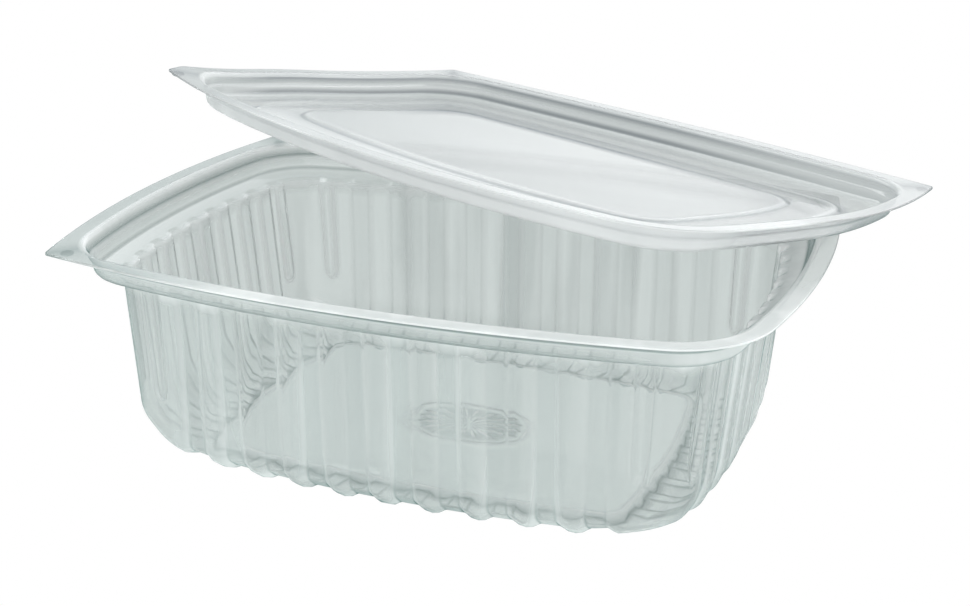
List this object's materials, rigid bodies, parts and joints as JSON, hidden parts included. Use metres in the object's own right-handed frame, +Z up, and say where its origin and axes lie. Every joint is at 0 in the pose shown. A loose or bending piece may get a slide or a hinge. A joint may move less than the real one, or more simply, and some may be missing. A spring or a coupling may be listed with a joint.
{
  "type": "takeaway food tray with lid",
  "caption": "Empty clear plastic takeaway tray with ribbed walls and bowed sides, its loose clear lid lying askew over the mouth.",
  "frame": {"origin": "middle of the bottom of the box around tray and lid, on the surface the tray stands on", "axes": "+Z up, +X along the tray's long side, +Y towards the back, where the lid overhangs"},
  "size_m": [0.206, 0.1846, 0.0895],
  "materials": {
    "tray_plastic": "clear, glossy thin formed sheet with a faint grey-green tint",
    "lid_plastic": "clear, glossy thin formed sheet, slightly milky"
  },
  "bodies": {
    "root": {"tray": "tray_plastic", "lid": "lid_plastic"}
  },
  "joints": []
}
